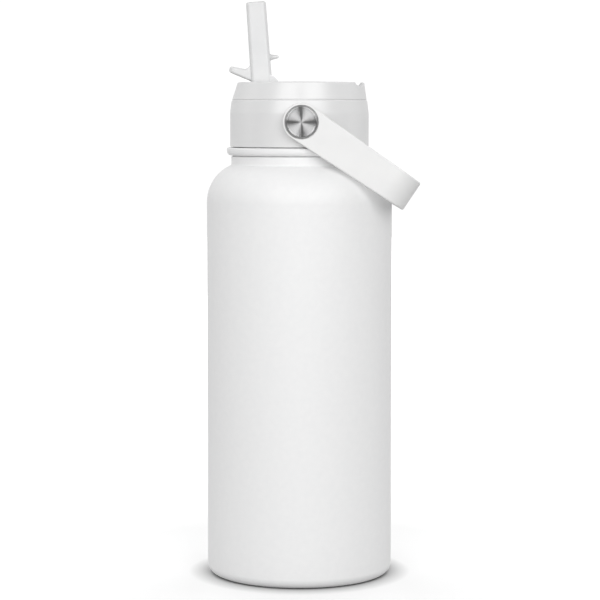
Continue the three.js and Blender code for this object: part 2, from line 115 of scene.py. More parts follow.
COVER_BOTTOM = 233.5
COVER_BASE_RADIUS = 33.0
COVER_RIM_RADIUS = 31.0
COVER_EDGE = 0.9
COVER_WALL = 1.8
COVER_LEAN = 0.09  # sideways for each millimetre of height
CHANNEL_LEFT = -24.8
CHANNEL_RIGHT = 27.2
CHANNEL_HALF_WIDTH = 8.2
CHANNEL_FLOOR = 236.8
CHANNEL_WALL = 2.2
CHANNEL_CORNER = 1.6
PORT_RADIUS = 3.3  # the feed and vent holes in the channel's floor
DRUM_BLOCK_END = -8.0
SCOOP_X = 28.4
SCOOP_Z = 242.2
SCOOP_RADIUS = 1.9
FEED_X = -18.0
VENT_X = -1.5

DRUM_RADIUS = 6.2
DRUM_HALF_LENGTH = 7.0
TRUNNION_RADIUS = 1.8
TRUNNION_END = 9.6
SPOUT_LEAN = 4.0  # degrees from upright
SPOUT_AXIS_X = -2.4
SPOUT_LENGTH = 41.7
SPOUT_BASE_HALF = (5.15, 7.4)
SPOUT_TIP_HALF = (4.8, 6.6)
SPOUT_CORNER = 1.9
SPOUT_TIP_ROUND = 1.1
BORE_HALF = (3.3, 4.8)
NIB_Z = 14.5

HANDLE_DROOP = 33.9  # degrees below level
EYE_RADIUS = 8.95
END_HALF_HEIGHT = 7.8
HANDLE_REACH = 64.3
HANDLE_THICKNESS = 3.2
HANDLE_INSIDE = 35.6
HANDLE_CORNER = 14.0
HANDLE_EDGE = 0.75
EYE_HOLE = 4.7
EYE_RECESS = 8.15

HEAD_RADIUS = BOLT_HIGH.x - 0.3
HEAD_OUT = BOLT_HIGH.y
SHAFT_IN = BOLT_LOW.y
HEAD_IN = 37.5
SHAFT_RADIUS = 3.0
FACE_SINK = 0.12  # of the brushed face below the ring round it


# ---------- outlines ----------


def rounded(corners, steps=None):
    """The closed outline of (x, y, radius) corners, each rounded in so many steps.

    Without steps, a corner gets as many as suit its radius and its angle.
    """
    points = []
    for i, (x, y, radius) in enumerate(corners):
        here = Vector((x, y))
        if radius == 0:
            points.append(here)
            continue
        towards_last = (Vector(corners[i - 1][:2]) - here).normalized()
        towards_next = (Vector(corners[(i + 1) % len(corners)][:2]) - here).normalized()
        half = towards_last.angle(towards_next) / 2
        centre = here + (towards_last + towards_next).normalized() * radius / math.sin(half)
        start = here + towards_last * radius / math.tan(half) - centre
        end = here + towards_next * radius / math.tan(half) - centre
        sweep = start.angle_signed(end)
        step = max(3, 18 - 3 * radius)  # degrees, finer for a larger radius
        count = steps or max(2, math.ceil(math.degrees(abs(sweep)) / step))
        for k in range(count + 1):
            turn = Matrix.Rotation(-sweep * k / count, 2)
            points.append(centre + turn @ start)
    return points


def rounded_rectangle(half_x, half_y, radius):
    """A rectangle about the origin, with the same number of points whatever its size."""
    corners = [(half_x, -half_y), (half_x, half_y), (-half_x, half_y), (-half_x, -half_y)]
    return rounded([(x, y, radius) for x, y in corners], steps=7)


def ellipse(half_x, half_y, facets=SMALL_FACETS):
    """An ellipse about the origin, or a circle when both half widths are the same."""
    angles = [math.tau * k / facets for k in range(facets)]
    return [Vector((half_x * math.cos(a), half_y * math.sin(a))) for a in angles]


# ---------- meshes ----------


def mesh_of(bm, name):
    """A mesh in metres from a bmesh in millimetres."""
    bmesh.ops.recalc_face_normals(bm, faces=bm.faces)
    bmesh.ops.transform(bm, matrix=Matrix.Scale(MM, 4), verts=bm.verts)
    mesh = bpy.data.meshes.new(name)
    bm.to_mesh(mesh)
    bm.free()
    return mesh


def added(name, mesh):
    """A new piece in the scene."""
    piece = bpy.data.objects.new(name, mesh)
    bpy.context.scene.collection.objects.link(piece)
    return piece


def lofted(name, rings, place=None, closed=False):
    """A solid skinned over rings of 3-D points. Closed joins the last ring to the first."""
    bm = bmesh.new()
    loops = []
    for ring in rings:
        loops.append([bm.verts.new(point) for point in ring])
    pairs = list(zip(loops, loops[1:]))
    if closed:
        pairs.append((loops[-1], loops[0]))
    for lower, upper in pairs:
        count = max(len(lower), len(upper))
        for k in range(count):
            around = [
                lower[k % len(lower)],
                lower[(k + 1) % len(lower)],
                upper[(k + 1) % len(upper)],
                upper[k % len(upper)],
            ]
            corners = list(dict.fromkeys(around))
            if len(corners) > 2:
                bm.faces.new(corners)
    if not closed:
        for ring in (loops[0], loops[-1]):
            if len(ring) > 2:
                bm.faces.new(ring)
    if place is not None:
        bmesh.ops.transform(bm, matrix=place, verts=bm.verts)
    return added(name, mesh_of(bm, name))


def turned(name, outline, facets=FACETS, place=None):
    """A closed outline of (radius, height) points turned about Z, then put in its place."""
    rings = []
    for radius, height in outline:
        centre = Vector((0, 0, height))
        if radius < 1e-6:
            rings.append([centre])
        else:
            circle = ellipse(radius, radius, facets)
            rings.append([point.to_3d() + centre for point in circle])
    return lofted(name, rings, place, closed=True)


def facing(side):
    """Turns +Z to point out of the lid's front (-1) or back (+1) at the handle's pivot."""
    turn = Matrix.Rotation(math.radians(-90 * side), 4, "X")
    return Matrix.Translation((0, 0, HANDLE_PIVOT.z)) @ turn


def extruded(name, outline, bottom, top, place=None):
    """An upright prism over an outline of (x, y) points."""
    rings = [[Vector((x, y, z)) for x, y in outline] for z in (bottom, top)]
    return lofted(name, rings, place)


def cross_rod(name, radius, half_length, x, z):
    """A rod along Y, centred on y = 0."""
    place = Matrix.Translation((x, 0, z)) @ Matrix.Rotation(math.radians(90), 4, "X")
    return extruded(name, ellipse(radius, radius), -half_length, half_length, place)


def cleaned(piece, gap=0.004):
    """Merges points closer than a gap in millimetres and drops faces left with no area."""
    bm = bmesh.new()
    bm.from_mesh(piece.data)
    bmesh.ops.remove_doubles(bm, verts=bm.verts, dist=gap * MM)
    bmesh.ops.dissolve_degenerate(bm, edges=bm.edges, dist=gap * MM)
    bm.to_mesh(piece.data)
    bm.free()
    return piece


def settled(piece):
    """The piece with its modifiers worked into its mesh."""
    depsgraph = bpy.context.evaluated_depsgraph_get()
    mesh = bpy.data.meshes.new_from_object(piece.evaluated_get(depsgraph))
    piece.modifiers.clear()
    piece.data = mesh
    return cleaned(piece)


def combined(piece, others, operation):
    """Adds (UNION), cuts (DIFFERENCE) or keeps only (INTERSECT) the other solids' share."""
    for other in others:
        modifier = piece.modifiers.new(operation.lower(), "BOOLEAN")
        modifier.operation = operation
        modifier.solver = "EXACT"
        modifier.object = other
    settled(piece)
    for other in others:
        bpy.data.objects.remove(other)
    return piece


def shaded(piece, sharp=35):
    """Smooth shading that keeps flat faces flat and breaks at edges sharper than an angle."""
    piece.data.shade_smooth()
    piece.data.set_sharp_from_angle(angle=math.radians(sharp))
    normals = piece.modifiers.new("normals", "WEIGHTED_NORMAL")
    normals.keep_sharp = True
    return piece


def placed(piece, body, slot, material, *nodes):
    """Gives a finished piece its material and its body, and hides the CAD nodes that it stands
    for.
    """
    piece.data.materials.clear()
    piece.data.materials.append(material)
    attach(piece, body)
    if nodes:
        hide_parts(*nodes)
    return piece


# ---------- materials ----------


class Finish:
    """A Principled material and the few node chains that these finishes share."""

    def __init__(self, name, **sockets):
        """Starts a new material. An underscore in a socket's name stands for a space."""
        self.material = bpy.data.materials.new(name)
        self.material.use_nodes = True
        self.nodes = self.material.node_tree.nodes
        self.links = self.material.node_tree.links
        self.shader = self.nodes["Principled BSDF"]
        for socket, value in sockets.items():
            self.shader.inputs[socket.replace("_", " ")].default_value = value

    def node(self, kind, inputs=None, **settings):
        """A node whose inputs are linked when given a socket and set when given a value."""
        node = self.nodes.new(kind)
        for key, value in settings.items():
            setattr(node, key, value)
        for socket, value in (inputs or {}).items():
            if isinstance(value, bpy.types.NodeSocket):
                self.links.new(value, node.inputs[socket])
            else:
                node.inputs[socket].default_value = value
        return node

    def place(self):
        """Where a point of the piece is, in metres."""
        return self.node("ShaderNodeTexCoord").outputs["Object"]

    def noise(self, size, detail=2.0, stretch=(1, 1, 1)):
        """Noise from 0 to 1 whose blobs are about size millimetres across."""
        scaled = self.node("ShaderNodeMapping", {"Vector": self.place(), "Scale": stretch})
        inputs = {"Vector": scaled.outputs["Vector"], "Scale": 1 / (size * MM), "Detail": detail}
        return self.node("ShaderNodeTexNoise", inputs).outputs["Fac"]

    def lines(self, across, size, detail=2.0):
        """Noise along one measure only, for brushed and drawn metal."""
        inputs = {"W": across, "Scale": 1 / (size * MM), "Detail": detail}
        return self.node("ShaderNodeTexNoise", inputs, noise_dimensions="1D").outputs["Fac"]

    def distance_from_axis(self, axis, centre=(0, 0, 0)):
        """Metres to the line along X, Y or Z through a centre given in millimetres."""
        offset = tuple(-c * MM for c in centre)
        moved = self.node("ShaderNodeVectorMath", {0: self.place(), 1: offset}, operation="ADD")
        flat = tuple(0 if letter == axis else 1 for letter in "XYZ")
        inputs = {0: moved.outputs[0], 1: flat}
        pressed = self.node("ShaderNodeVectorMath", inputs, operation="MULTIPLY")
        length = self.node("ShaderNodeVectorMath", {0: pressed.outputs[0]}, operation="LENGTH")
        return length.outputs["Value"]

    def between(self, fac, low, high, start=0.3, end=0.7):
        """Maps start..end of a value to low..high."""
        inputs = {"Value": fac, "From Min": start, "From Max": end, "To Min": low, "To Max": high}
        return self.node("ShaderNodeMapRange", inputs).outputs["Result"]

    def colour(self, fac, dark, light):
        """Varies the base colour between two shades."""
        ramp = self.node("ShaderNodeValToRGB", {"Fac": fac})
        ramp.color_ramp.elements[0].position = 0.3
        ramp.color_ramp.elements[1].position = 0.7
        ramp.color_ramp.elements[0].color = (*dark, 1)
        ramp.color_ramp.elements[1].color = (*light, 1)
        self.links.new(ramp.outputs["Color"], self.shader.inputs["Base Color"])

    def roughness(self, fac, low, high):
        """Varies the roughness between two values."""
        self.links.new(self.between(fac, low, high), self.shader.inputs["Roughness"])

    def bumps(self, *layers):
        """Lifts the surface by (height value, depth in millimetres) layers, one after another."""
        normal = None
        for height, depth in layers:
            inputs = {"Height": height, "Distance": depth * MM, "Strength": 1.0}
            if normal is not None:
                inputs["Normal"] = normal
            normal = self.node("ShaderNodeBump", inputs).outputs["Normal"]
        self.links.new(normal, self.shader.inputs["Normal"])

    def brushed_round(self, axis):
        """Stretches highlights across brush lines that run round an axis."""
        tangent = self.node("ShaderNodeTangent", direction_type="RADIAL", axis=axis)
        self.links.new(tangent.outputs["Tangent"], self.shader.inputs["Tangent"])


def powder_coat():
    """Satin powder coat: an orange-peel swell under a fine grain."""
    finish = Finish("powder_coat", Specular_IOR_Level=0.5)
    finish.colour(finish.noise(3, 3), (0.822, 0.823, 0.825), (0.84, 0.84, 0.84))
    finish.roughness(finish.noise(1.2, 3), 0.4, 0.5)
    finish.bumps((finish.noise(1.6, 2), 0.012), (finish.noise(0.35, 3), 0.007))
    return finish.material


def lid_plastic():
    """Moulded polypropylene with a fine spark-eroded texture."""
    finish = Finish("lid_plastic", Specular_IOR_Level=1.0)
    finish.colour(finish.noise(14, 2), (0.728, 0.729, 0.731), (0.745, 0.745, 0.745))
    finish.roughness(finish.noise(0.5, 3), 0.29, 0.36)
    finish.bumps((finish.noise(0.28, 2), 0.005))
    return finish.material


def handle_plastic():
    """Soft-touch plastic, a little duller than the lid."""
    finish = Finish("handle_plastic", Specular_IOR_Level=0.4)
    finish.colour(finish.noise(12, 2), (0.785, 0.785, 0.782), (0.81, 0.81, 0.805))
    finish.roughness(finish.noise(0.6, 3), 0.46, 0.56)
    finish.bumps((finish.noise(5, 1), 0.01), (finish.noise(0.3, 2), 0.007))
    return finish.material


def spout_plastic():
    """Food-grade plastic: smooth, slightly glossy and slightly translucent."""
    finish = Finish(
        "spout_plastic",
        Specular_IOR_Level=0.5,
        Subsurface_Weight=0.15,
        Subsurface_Radius=(1.0, 1.0, 1.0),
        Subsurface_Scale=0.0016,
    )
    finish.colour(finish.noise(8, 2), (0.682, 0.685, 0.688), (0.708, 0.709, 0.71))
    finish.roughness(finish.noise(1.5, 3), 0.2, 0.26)
    finish.bumps((finish.noise(8, 1), 0.01), (finish.noise(0.5, 2), 0.001))
    return finish.material


def silicone():
    """Soft moulded rubber with a dusty sheen."""
    finish = Finish("silicone", Specular_IOR_Level=0.35, Sheen_Weight=0.15)
    finish.colour(finish.noise(3, 3), (0.7, 0.715, 0.72), (0.75, 0.76, 0.765))
    finish.roughness(finish.noise(0.8, 3), 0.52, 0.66)
    finish.bumps((finish.noise(0.4, 3), 0.006))
    return finish.material


def straw_plastic():
    """Extruded tube with faint lines along its length."""
    finish = Finish("straw_plastic", Specular_IOR_Level=0.5)
    finish.colour(finish.noise(6, 2), (0.76, 0.775, 0.785), (0.8, 0.81, 0.82))
    finish.roughness(finish.noise(1.5, 2), 0.2, 0.26)
    finish.bumps((finish.noise(0.5, 2, stretch=(1, 1, 0.02)), 0.008))
    return finish.material


def foam():
    """Open insulating foam, rough and a little yellow."""
    finish = Finish("foam", Specular_IOR_Level=0.2)
    finish.colour(finish.noise(1.5, 4), (0.7, 0.68, 0.62), (0.82, 0.8, 0.75))
    finish.roughness(finish.noise(2, 2), 0.85, 0.95)
    finish.bumps((finish.noise(0.7, 4), 0.12))
    return finish.material


def brushed_steel(name, axis, centre=(0, 0, 0)):
    """Stainless steel brushed in rings round an axis."""
    finish = Finish(name, Metallic=1.0, Anisotropic=1.0, Anisotropic_Rotation=0.25)
    radius = finish.distance_from_axis(axis, centre)
    rings = finish.lines(radius, 0.09, 3)
    finish.colour(finish.lines(radius, 0.35, 2), (0.76, 0.76, 0.765), (0.86, 0.86, 0.86))
    finish.roughness(rings, 0.29, 0.35)
    finish.bumps((rings, 0.0012))
    finish.brushed_round(axis)
    return finish.material


def drawn_steel():
    """Stainless steel drawn and polished round the neck, with fine lines level with the rim."""
    finish = Finish("drawn_steel", Metallic=1.0, Anisotropic=0.6)
    height = finish.node("ShaderNodeSeparateXYZ", {"Vector": finish.place()}).outputs["Z"]
    finish.colour(finish.lines(height, 0.5, 3), (0.56, 0.56, 0.555), (0.66, 0.66, 0.65))
    finish.roughness(finish.lines(height, 0.2, 3), 0.29, 0.38)
    finish.bumps((finish.lines(height, 0.12, 2), 0.002))
    return finish.material


def brass():
    """Turned brass, dulled in patches."""
    finish = Finish("brass", Metallic=1.0)
    finish.colour(finish.noise(2, 3), (0.6, 0.44, 0.17), (0.72, 0.55, 0.25))
    finish.roughness(finish.noise(0.4, 3), 0.29, 0.42)
    finish.bumps((finish.noise(0.3, 2), 0.004))
    return finish.material


def glass_solder():
    """A dark glassy bead that seals the vacuum."""
    finish = Finish("glass_solder", Specular_IOR_Level=0.6)
    finish.colour(finish.noise(1, 3), (0.06, 0.065, 0.07), (0.16, 0.17, 0.18))
    finish.roughness(finish.noise(0.6, 2), 0.12, 0.25)
    finish.bumps((finish.noise(0.8, 2), 0.02))
    return finish.material


POWDER_COAT = powder_coat()
LID_PLASTIC = lid_plastic()
HANDLE_PLASTIC = handle_plastic()
SPOUT_PLASTIC = spout_plastic()
SILICONE = silicone()
STRAW_PLASTIC = straw_plastic()
FOAM = foam()
DRAWN_STEEL = drawn_steel()
BASE_STEEL = brushed_steel("base_steel", "Z")
DISC_STEEL = brushed_steel("disc_steel", "Y", (0, 0, HANDLE_PIVOT.z))
BRASS = brass()
GLASS_SOLDER = glass_solder()


# ---------- bottle ----------


def coated_shell():
    """The painted wall: lip, corner, shoulder, neck groove and the bead that the lid meets."""
    inner = BODY_RADIUS - SHEET_WALL
    neck_inner = NECK_RADIUS - UNDERCUT - SHEET_WALL
    outline = rounded([
        (BASE_LIP, 0, 0),
        (BODY_RADIUS, 0, BASE_CORNER),
        (BODY_RADIUS, SHOULDER_CORNER_Z, SHOULDER_RADIUS),
        (NECK_RADIUS, NECK_Z, NECK_ROUND),
        (NECK_RADIUS, COLLAR_BOTTOM - CREASE, 0.2),
        (NECK_RADIUS - UNDERCUT, COLLAR_BOTTOM - CREASE, 0),
        (NECK_RADIUS - UNDERCUT, COLLAR_BOTTOM, 0),
        (COLLAR_RADIUS, COLLAR_BOTTOM, COLLAR_UNDER_ROUND),
        (COLLAR_RADIUS, COLLAR_TOP, COLLAR_TOP_ROUND),
        (MOUTH_RADIUS + 0.1, COLLAR_TOP, 0),
        (MOUTH_RADIUS + 0.1, COLLAR_TOP - COLLAR_WEB, 0),
        (neck_inner, COLLAR_TOP - COLLAR_WEB, 0),
        (neck_inner, NECK_Z, 1.8),
        (inner, SHOULDER_CORNER_Z - SHEET_WALL, SHOULDER_RADIUS - SHEET_WALL),
        (inner, SHEET_WALL, BASE_CORNER - SHEET_WALL),
        (BASE_LIP, SHEET_WALL, 0),
    ])
    shell = shaded(turned("coated_shell", outline))
    return placed(shell, "bottle", "powder_coat", POWDER_COAT, "outer_shell")


def thread(name, root, crest, start, turns):
    """A right-hand thread ridge with rounded flanks that fades into the wall at its ends.

    Its section is points of (share of its height, millimetres above its crest).
    """
    section = [(0, -0.9), (0.45, -0.62), (0.9, -0.36), (1, 0), (0.9, 0.36), (0.45, 0.62), (0, 0.9)]
    steps = round(turns * FACETS)
    rings = []
    for k in range(steps + 1):
        along = k / steps
        fade = min(1, 0.1 + 7 * math.sin(math.pi * along))
        angle = math.tau * turns * along
        ring = []
        for out, up in section:
            radius = root + (crest - root) * out * fade
            height = start + THREAD_LEAD * turns * along + up
            ring.append(Vector((radius * math.cos(angle), radius * math.sin(angle), height)))
        rings.append(ring)
    return lofted(name, rings)


def steel_neck():
    """The bare threaded mouth above the paint line."""
    wall = 0.7
    outline = rounded([
        (MOUTH_RADIUS - wall, COLLAR_TOP - COLLAR_WEB, 0),
        (MOUTH_RADIUS, COLLAR_TOP - COLLAR_WEB, 0),
        (MOUTH_RADIUS, RIM_Z, 0.3),
        (MOUTH_RADIUS - wall, RIM_Z, 0.3),
    ])
    neck = turned("steel_neck", outline)
    root = MOUTH_RADIUS - 0.3
    crest = MOUTH_RADIUS + THREAD_HEIGHT
    ridge = thread("neck_thread", root, crest, THREAD_START_Z, THREAD_TURNS)
    neck = combined(neck, [ridge], "UNION")
    return placed(shaded(neck), "bottle", "bare_steel", DRAWN_STEEL, "outer_shell")


def liner():
    """The inner wall that holds the drink, with its rolled lip on the rim."""
    low, high = span("inner_liner")
    radius = high.x
    neck = MOUTH_RADIUS - 1
    lip = 0.7
    corner = 5.5
    shoulder = SHOULDER_RADIUS - 4.3
    outline = rounded([
        (0, low.z, 0),
        (radius, low.z, corner),
        (radius, SHOULDER_CORNER_Z - 1.2, shoulder),
        (neck, SHOULDER_CORNER_Z + 2.6, 2.5),
        (neck, high.z - lip, 0),
        (MOUTH_RADIUS, high.z - lip, 0.3),
        (MOUTH_RADIUS, high.z, 0.3),
        (neck - SHEET_WALL, high.z, 0.5),
        (neck - SHEET_WALL, SHOULDER_CORNER_Z + 2, 2.5),
        (radius - SHEET_WALL, SHOULDER_CORNER_Z - 1.8, shoulder - SHEET_WALL),
        (radius - SHEET_WALL, low.z + SHEET_WALL, corner - SHEET_WALL),
        (0, low.z + SHEET_WALL, 0),
    ])
    piece = shaded(turned("liner", outline))
    return placed(piece, "bottle", "bare_steel", DRAWN_STEEL, "inner_liner")


def base():
    """The pressed cup that closes the shell, and the brushed disc under it."""
    low, high = span("outer_base")
    wall = 0.6
    port = 1.5
    cup = turned("base_cup", rounded([
        (port, low.z, 0),
        (high.x, low.z, 0.3),
        (high.x, high.z, 0.2),
        (high.x - wall, high.z, 0.2),
        (high.x - wall, low.z + wall, 0.4),
        (port, low.z + wall, 0),
    ]))
    placed(shaded(cup), "bottle", "bare_steel", DRAWN_STEEL, "outer_base")
    low, high = span("base_disc")
    dish = 0.12
    disc = turned("base_disc_skin", rounded([
        (0, low.z + dish, 0),
        (5, low.z + dish, 0.2),
        (6, low.z, 0.2),
        (high.x, low.z, 0.3),
        (high.x, high.z, 0.2),
        (0, high.z, 0),
    ]))
    placed(shaded(disc, 20), "bottle", "bare_steel", BASE_STEEL, "base_disc")


# ---------- lid ----------


def housing():
    """The skirt of the lid, with a hole each side for the handle's pivots."""
    ledge = SKIRT_HIGH.z - 2.5
    brim = SKIRT_HIGH.z - 0.1
    upstand = COVER_BASE_RADIUS - 0.1
    outline = rounded([
        (SKIRT_RADIUS, SKIRT_LOW.z, 0.35),
        (SKIRT_RADIUS, SKIRT_BEND_Z, SKIRT_BEND_ROUND),
        (SKIRT_RADIUS - SKIRT_LEAN_IN, brim, SKIRT_SHOULDER),
        (upstand, brim, 0),
        (upstand, COVER_BOTTOM, 0),
        (LEDGE_RADIUS, COVER_BOTTOM, 0),
        (LEDGE_RADIUS, ledge, 0),
        (SKIRT_RADIUS - SKIRT_WALL, ledge, 0.8),
        (SKIRT_RADIUS - SKIRT_WALL, SKIRT_LOW.z, 0.3),
    ])
    skirt = turned("lid_skirt", outline)
    hole = cross_rod("pivot_hole", PIVOT_HOLE, SKIRT_RADIUS + 2, 0, HANDLE_PIVOT.z)
    combined(skirt, [hole], "DIFFERENCE")
    return placed(shaded(skirt), "lid", "white_plastic", LID_PLASTIC, "lid_housing")


def lean(piece):
    """Shifts a solid sideways as it rises, so that its rim sits off centre."""
    for vertex in piece.data.vertices:
        vertex.co.x += max(0, vertex.co.z - COVER_BOTTOM * MM) * COVER_LEAN
    return piece


def channel_rim(half_length, top, place):
    """The cutter that softens the channel's upper edge, steeper where it is wider than a knee."""
    depth = 0.4
    knee = 0.3
    rings = []
    for grow in (-0.05, 0.15, knee, 0.5, 1.2):
        half_width = CHANNEL_HALF_WIDTH + grow
        section = rounded_rectangle(half_length + grow, half_width, CHANNEL_CORNER + grow)
        rise = grow if grow < knee else 2 * grow - knee
        rings.append([Vector((x, y, top - depth + rise)) for x, y in section])
    return lofted("channel_rim", rings, place)


def top_cover():
    """The raised cover with the channel that the spout folds into."""
    top = COVER_HIGH.z
    form = lean(turned("lid_cover", rounded([
        (0, COVER_BOTTOM, 0),
        (COVER_BASE_RADIUS, COVER_BOTTOM, 0.3),
        (COVER_RIM_RADIUS, top, COVER_EDGE),
        (0, top, 0),
    ])))
    hollow = lean(turned("cover_hollow", [
        (0, COVER_BOTTOM - COVER_WALL),
        (COVER_BASE_RADIUS - COVER_WALL, COVER_BOTTOM - COVER_WALL),
        (COVER_RIM_RADIUS - COVER_WALL, top - COVER_WALL),
        (0, top - COVER_WALL),
    ]))
    end_wall = 1.2
    floor_wall = 1.6
    gap = 0.3  # round the drum and its trunnions
    middle = (CHANNEL_LEFT + CHANNEL_RIGHT) / 2
    half_length = (CHANNEL_RIGHT - CHANNEL_LEFT) / 2
    along = Matrix.Translation((middle, 0, 0))
    half_block = CHANNEL_HALF_WIDTH + CHANNEL_WALL
    walls = extruded(
        "channel_walls",
        rounded_rectangle(half_length + end_wall, half_block, 3),
        CHANNEL_FLOOR - floor_wall,
        top - COVER_EDGE,
        along,
    )
    drum_middle = (CHANNEL_LEFT - end_wall + DRUM_BLOCK_END) / 2
    drum_block = extruded(
        "drum_block",
        rounded_rectangle(DRUM_BLOCK_END - drum_middle, half_block, 1),
        COVER_LOW.z,
        top - COVER_EDGE,
        Matrix.Translation((drum_middle, 0, 0)),
    )
    combined(form, [hollow], "DIFFERENCE")
    combined(form, [walls, drum_block], "UNION")
    channel = extruded(
        "channel",
        rounded_rectangle(half_length, CHANNEL_HALF_WIDTH, CHANNEL_CORNER),
        CHANNEL_FLOOR,
        top + 5,
        along,
    )
    pocket = cross_rod("drum_pocket", DRUM_RADIUS + gap, CHANNEL_HALF_WIDTH, HINGE.x, HINGE.z)
    bearing = cross_rod("bearing", TRUNNION_RADIUS + gap, TRUNNION_END + gap, HINGE.x, HINGE.z)
    port = ellipse(PORT_RADIUS, PORT_RADIUS)
    at_feed = Matrix.Translation((FEED_X, 0, 0))
    at_vent = Matrix.Translation((VENT_X, 0, 0))
    feed = extruded("feed", port, COVER_LOW.z - 1, CHANNEL_FLOOR, at_feed)
    vent = extruded("vent", port, CHANNEL_FLOOR - 3, CHANNEL_FLOOR + 1, at_vent)
    scoop = cross_rod("scoop", SCOOP_RADIUS, SKIRT_RADIUS, SCOOP_X, SCOOP_Z)
    combined(form, [channel, pocket, bearing, feed, vent, scoop], "DIFFERENCE")
    combined(form, [channel_rim(half_length, top, along)], "DIFFERENCE")
    return placed(shaded(form), "lid", "white_plastic", LID_PLASTIC, "lid_top_cover")


# ---------- spout ----------


def spout_body():
    """The rounded column, its half widths shrinking from the hinge to the tip.

    Each level is a height and how far its section is drawn in.
    """
    levels = [(0, 0.6), (0.5, 0.6), (1.4, 0)]
    levels += [(SPOUT_LENGTH * k / 8, 0) for k in range(1, 8)]
    levels += [(SPOUT_LENGTH - SPOUT_TIP_ROUND, 0)]
    for k in range(1, 7):
        angle = math.radians(90 * k / 6)
        inset = SPOUT_TIP_ROUND * (1 - math.cos(angle))
        levels.append((SPOUT_LENGTH - SPOUT_TIP_ROUND * (1 - math.sin(angle)), inset))
    sections = []
    for height, inset in levels:
        rise = height / SPOUT_LENGTH
        halves = zip(SPOUT_BASE_HALF, SPOUT_TIP_HALF)
        half_x, half_y = [low + (tip - low) * rise - inset for low, tip in halves]
        section = rounded_rectangle(half_x, half_y, SPOUT_CORNER - inset)
        sections.append([Vector((x + SPOUT_AXIS_X, y, height)) for x, y in section])
    return lofted("spout_body", sections)


def spout_tab():
    """The finger tab, from its thick root to its rounded tip.

    Each station has the tab's lower and upper point as (x, z), its half width and its corners.
    """
    stations = [
        ((-3, 3.1), (-3, 12), 6, 1),
        ((-6.4, 3.1), (-7, 11.8), 6, 1),
        ((-8.2, 4), (-8.4, 10.2), 6, 1),
        ((-10.2, 5), (-9.8, 9.5), 6, 1),
        ((-14.5, 7.1), (-13.6, 10.55), 6, 1),
        ((-16.3, 8), (-15.4, 11), 5.8, 0.9),
        ((-17.1, 8.5), (-16.3, 11.2), 5.3, 0.8),
        ((-17.6, 8.9), (-16.95, 11.1), 4.7, 0.6),
        ((-17.8, 9.3), (-17.3, 10.8), 4.2, 0.3),
    ]
    rings = []
    for low, high, half_width, radius in stations:
        middle = (Vector(low) + Vector(high)) / 2
        up = (Vector(high) - Vector(low)) / 2
        section = rounded_rectangle(up.length, half_width, radius)
        up.normalize()
        rings.append([Vector((middle.x + x * up.x, y, middle.y + x * up.y)) for x, y in section])
    return lofted("spout_tab", rings)


def spout_nib():
    """The pin that plugs the air vent when the spout is folded, as (reach, radius) points."""
    profile = [(1, 1.9), (2.9, 1.75), (3.3, 1.3), (5.2, 0.95), (6.5, 0.75), (6.85, 0.4)]
    rings = []
    for x, radius in profile:
        rings.append([Vector((x, y, NIB_Z + z)) for y, z in ellipse(radius, radius, 24)])
    return lofted("spout_nib", rings)


def spout_bore():
    """The oval water way, with a flare of (height, growth) steps where it leaves the tip."""
    rings = []
    flare = [(39.9, 0), (40.9, 0.25), (41.6, 0.8), (43.5, 2.5)]
    for height, grow in [(-2 * DRUM_RADIUS, 0), *flare]:
        section = ellipse(BORE_HALF[0] + grow, BORE_HALF[1] + grow)
        rings.append([Vector((x + SPOUT_AXIS_X, y, height)) for x, y in section])
    return lofted("spout_bore", rings)


def tab_dish():
    """The shallow hollow for a fingertip on top of the tab."""
    half_x, half_y, depth = 4.0, 4.3, 1.1
    centre = (-12.6, 0, 10.75)
    slope = 15
    rings = []
    for k in range(1, 12):
        angle = math.pi * k / 12
        section = ellipse(half_x * math.sin(angle), half_y * math.sin(angle), 32)
        rings.append([Vector((x, y, -depth * math.cos(angle))) for x, y in section])
    place = Matrix.Translation(centre) @ Matrix.Rotation(math.radians(slope), 4, "Y")
    return lofted("tab_dish", rings, place)


def spout():
    """The column, tab, nib, drum and trunnions as one moulding, set upright on its hinge."""
    piece = spout_body()
    solids = [
        spout_tab(),
        spout_nib(),
        cross_rod("drum", DRUM_RADIUS, DRUM_HALF_LENGTH, 0, 0),
        cross_rod("trunnions", TRUNNION_RADIUS, TRUNNION_END, 0, 0),
    ]
    combined(piece, solids, "UNION")
    combined(piece, [spout_bore(), tab_dish()], "DIFFERENCE")
    place = Matrix.Translation(HINGE * MM) @ Matrix.Rotation(math.radians(-SPOUT_LEAN), 4, "Y")
    piece.data.transform(place)
    piece.name = "spout_skin"
    return placed(shaded(piece), "spout", "soft_plastic", SPOUT_PLASTIC, "spout")


# ---------- handle: drawn flat, then bent into its U ----------

ARM = HANDLE_REACH - HANDLE_CORNER
BEND = HANDLE_CORNER - HANDLE_THICKNESS / 2
CORNER_LENGTH = BEND * math.pi / 2
CORNER_Y = HANDLE_INSIDE + HANDLE_THICKNESS - HANDLE_CORNER
HALF_STRIP = ARM + CORNER_LENGTH + CORNER_Y


def strip_edge():
    """The closed edge of the flat strip: a round eye at each end, joined by straight sides."""
    taper = math.asin((EYE_RADIUS - END_HALF_HEIGHT) / HANDLE_REACH)
    steps = 40
    left = []
    for k in range(steps + 1):
        angle = math.pi / 2 - taper + (math.pi + 2 * taper) * k / steps
        left.append(Vector((EYE_RADIUS * math.cos(angle), EYE_RADIUS * math.sin(angle))))
    right = [Vector((2 * HALF_STRIP - point.x, -point.y)) for point in left]
    taper_end = ARM + CORNER_LENGTH * 0.6
    joins = (taper_end, 2 * HALF_STRIP - taper_end)
    low = [Vector((x, -END_HALF_HEIGHT)) for x in joins]
    high = [Vector((x, END_HALF_HEIGHT)) for x in reversed(joins)]
    return left + low + right + high


